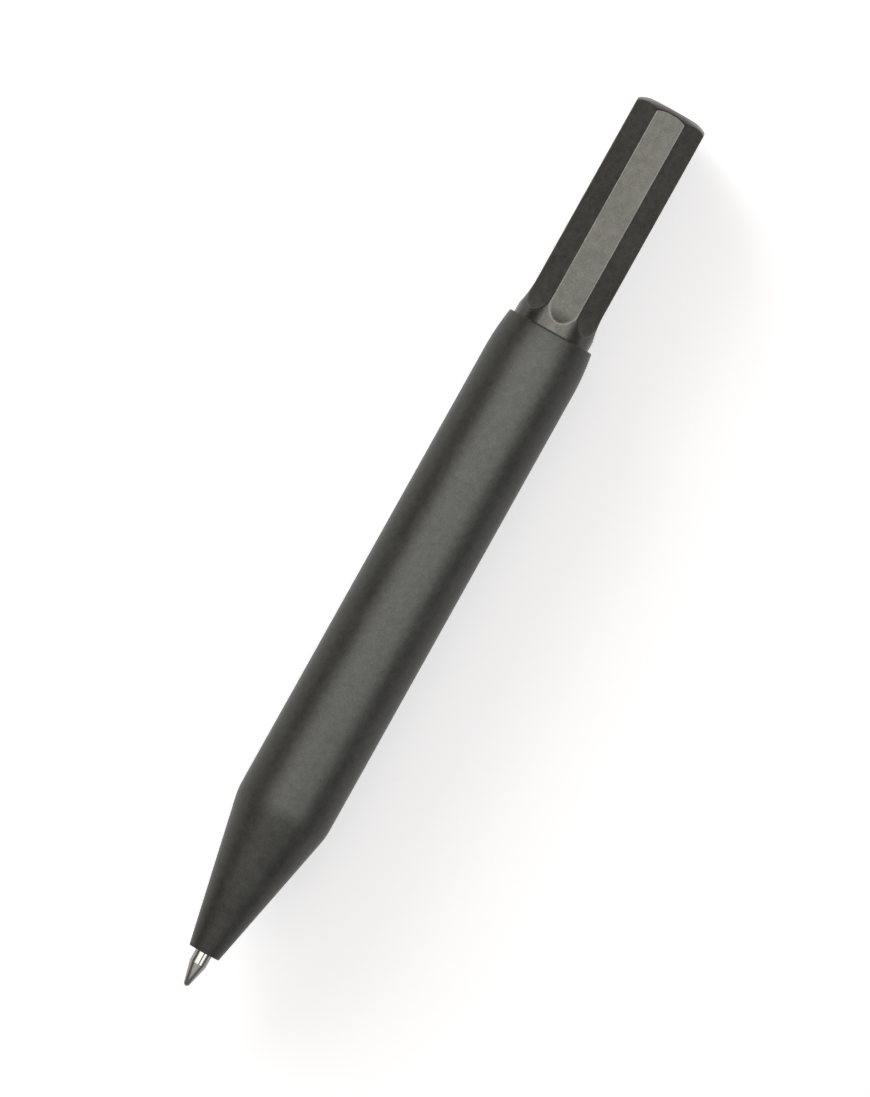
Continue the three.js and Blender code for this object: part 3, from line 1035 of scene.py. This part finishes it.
class Spring(Assembly):
    """The return spring, with close turns at both ends. It sits between its seat and the refill's neck."""

    sizes = SpringSizes()

    def line(self) -> list[Vector]:
        """Follows the middle of the wire.

        Returns:
            Points along the coil, in metres.
        """
        size = self.sizes
        height = size.end - size.start - size.wire
        open_pitch = (height - 2 * size.end_turns * size.end_pitch) / (size.turns - 2 * size.end_turns)
        points = []
        for i in range(size.turns * size.steps_per_turn + 1):
            turn = i / size.steps_per_turn
            below = min(turn, size.end_turns)
            above = max(turn - size.turns + size.end_turns, 0)
            between = turn - below - above
            station = size.start + size.wire / 2 + size.end_pitch * (below + above) + open_pitch * between
            angle = 2 * math.pi * turn
            across = Vector((0, math.cos(angle), math.sin(angle))) * size.coil_radius * MM
            points.append(Vector((ZERO_X + station * MM, 0, AXIS_Z)) + across)
        return points

    def wind(self) -> bpy.types.Object:
        """Winds the wire.

        Returns:
            The spring's mesh, closed at both ends.
        """
        Workshop.clear_selection()
        bpy.ops.curve.primitive_nurbs_path_add(location=(0, 0, 0))
        wire = bpy.context.object.data
        wire.splines.clear()
        points = self.line()
        spline = wire.splines.new("POLY")
        spline.points.add(len(points) - 1)
        for place, point in zip(spline.points, points):
            place.co = (*point, 1)
        wire.bevel_depth = self.sizes.wire / 2 * MM
        wire.bevel_resolution = self.sizes.wire_resolution
        wire.use_fill_caps = True
        bpy.ops.object.convert(target="MESH")
        piece = Workshop.take("coiled_return_spring")
        bpy.ops.object.mode_set(mode="EDIT")
        return Workshop.weld(piece)

    def build(self) -> None:
        """Winds and dresses the spring."""
        size = self.sizes
        piece = self.wind()
        Workshop.smooth(piece, size.sharp_angle)
        self.stand_in(piece, "return_spring", Slot.STEEL)
        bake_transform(piece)


class Inside(Assembly):
    """The pieces inside the barrel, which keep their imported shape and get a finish."""

    finishes = {
        "mechanism_collar": Slot.BRASS,
        "collar_seal": Slot.RUBBER,
        "bumper_ring": Slot.RUBBER,
        "stop_sleeve": Slot.GREY_ACETAL,
        "sleeve_cap": Slot.BRASS,
        "snap_ring": Slot.STEEL,
        "plunger_insert": Slot.BRASS,
        "plunger_ring": Slot.RUBBER,
        "thrust_cam": Slot.BRASS,
        "cam_pin": Slot.STEEL,
        "refill_neck": Slot.BRASS,
        "refill_tube": Slot.STEEL,
        "refill_plug": Slot.GREY_ACETAL,
        "refill_ink": Slot.INK,
        "rotor": Slot.WHITE_ACETAL,
    }

    def build(self) -> None:
        """Dresses each piece."""
        for node, slot in self.finishes.items():
            self.palette.dress(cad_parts[node], slot)
            log.info("%s keeps its packed shape", node)


# Studio


class Role(Enum):
    """What a lamp is for."""

    SOFTBOX = "is mirrored in the metal and lights nothing else"
    KEY = "lights the floor, throws the shadow and isn't mirrored"


@dataclass(frozen=True)
class Lamp:
    """An area lamp, in metres, with its radiance in watts per square metre and steradian.

    A softbox hangs face down, and the key lamp is aimed at the middle of the pen.
    """

    name: str
    role: Role
    place: Place
    size: tuple[float, float]
    radiance: float
    pen_middle: Place = (0.0, 0.0, 0.006)

    def hang(self) -> None:
        """Adds the lamp to the scene."""
        data = bpy.data.lights.new(self.name, "AREA")
        data.shape = "RECTANGLE"
        data.size, data.size_y = self.size
        data.energy = self.radiance * math.pi * self.size[0] * self.size[1]
        light = bpy.data.objects.new(self.name, data)
        bpy.context.scene.collection.objects.link(light)
        light.visible_camera = False
        light.visible_glossy = self.role is Role.SOFTBOX
        light.visible_diffuse = self.role is Role.KEY
        aim = self.pen_middle if self.role is Role.KEY else (self.place[0], self.place[1], 0.0)
        back = (Vector(self.place) - Vector(aim)).normalized()
        across = Vector((0, 1, 0)).cross(back).normalized()
        turn = Matrix((across, back.cross(across), back)).transposed().to_4x4()
        light.matrix_world = Matrix.Translation(self.place) @ turn


@dataclass(frozen=True)
class Studio:
    """The camera, the floor and the light, in metres and degrees, with the lens and sensor in millimetres."""

    axis_lean: float = -60.81
    aim: tuple[float, float] = (0.000346, -0.000600)
    frame_height: float = 0.14146
    lens: float = 520.0
    sensor: float = 36.0
    floor_size: float = 6.0
    floor_tone: float = 0.9
    floor_roughness: float = 0.9
    floor_lift: float = 0.57
    world_ambient: float = 0.38
    world_seen: float = 0.35
    world_left: Colour = (1.0, 0.94, 0.87)
    world_right: Colour = (1.0, 0.98, 1.02)
    lamps: tuple[Lamp, ...] = (
        Lamp("overhead_softbox", Role.SOFTBOX, (0.082, 0.0, 0.4), (0.254, 0.8), 2.55),
        Lamp("left_strip", Role.SOFTBOX, (-0.075, 0.21, 0.4), (0.06, 0.5), 3.8),
        Lamp("right_strip", Role.SOFTBOX, (-0.075, -0.31, 0.4), (0.06, 0.3), 3.8),
        Lamp("plunger_fill", Role.SOFTBOX, (0.13, 0.0, 0.39), (0.15, 0.8), 1.3),
        Lamp("nose_fill", Role.SOFTBOX, (-0.29, 0.0, 0.39), (0.12, 0.8), 0.85),
        Lamp("key", Role.KEY, (0.239, 0.457, 0.144), (0.324, 0.397), 8.3),
    )

    def camera(self) -> None:
        """Sets the camera square above the pen, turned so that the pen leans in the picture."""
        data = bpy.data.cameras.new("camera")
        data.lens = self.lens
        data.sensor_width = self.sensor
        camera = bpy.data.objects.new("camera", data)
        bpy.context.scene.collection.objects.link(camera)
        camera.location = (*self.aim, AXIS_Z + self.frame_height * self.lens / self.sensor)
        camera.rotation_euler = (0, 0, math.radians(self.axis_lean))
        bpy.context.scene.camera = camera

    def floor(self) -> None:
        """Lays a plain pale floor under the pen."""
        Workshop.clear_selection()
        bpy.ops.mesh.primitive_plane_add(size=self.floor_size, location=(0, 0, 0))
        floor = Workshop.take("floor")
        shader = Shader("pale_floor")
        shader.sockets["Base Color"].default_value = (self.floor_tone, self.floor_tone, self.floor_tone, 1)
        shader.sockets["Roughness"].default_value = self.floor_roughness
        shader.sockets["Specular IOR Level"].default_value = 0.0
        shader.sockets["Emission Color"].default_value = (1, 1, 1, 1)
        shader.join(shader.by_ray(self.floor_lift, 0.0), shader.sockets["Emission Strength"])
        floor.data.materials.append(shader.material)

    def world(self) -> None:
        """Surrounds the pen with a plain pale world, a little warmer on its left."""
        world = bpy.data.worlds.new("studio")
        world.use_nodes = True
        bpy.context.scene.world = world
        nodes = NodeTree(world.node_tree)
        background = nodes.find("BACKGROUND").inputs
        direction = nodes.add("ShaderNodeTexCoord")
        sides = nodes.add("ShaderNodeSeparateXYZ")
        nodes.join(direction.outputs["Generated"], sides.inputs[0])
        share = nodes.add("ShaderNodeMapRange")
        share.inputs["From Min"].default_value = -1.0
        nodes.join(sides.outputs["Y"], share.inputs["Value"])
        tint = nodes.add("ShaderNodeMix", data_type="RGBA")
        nodes.join(share.outputs["Result"], tint.inputs["Factor"])
        tint.inputs["A"].default_value = (*self.world_right, 1)
        tint.inputs["B"].default_value = (*self.world_left, 1)
        nodes.join(tint.outputs["Result"], background["Color"])
        nodes.join(nodes.by_ray(self.world_seen, self.world_ambient), background["Strength"])

    def build(self) -> None:
        """Sets up the whole studio."""
        bpy.context.scene.view_settings.view_transform = "Standard"
        self.camera()
        self.floor()
        self.world()
        for lamp in self.lamps:
            lamp.hang()
        log.info("studio ready, %d lamps", len(self.lamps))


def main() -> None:
    """Builds the studio and every sub-assembly."""
    Studio().build()
    palette = Palette()
    for assembly in (Barrel, Plunger, Point, Spring, Inside):
        log.info("building %s", assembly.__name__.lower())
        assembly(palette).build()


if __name__ == "__main__":
    main()
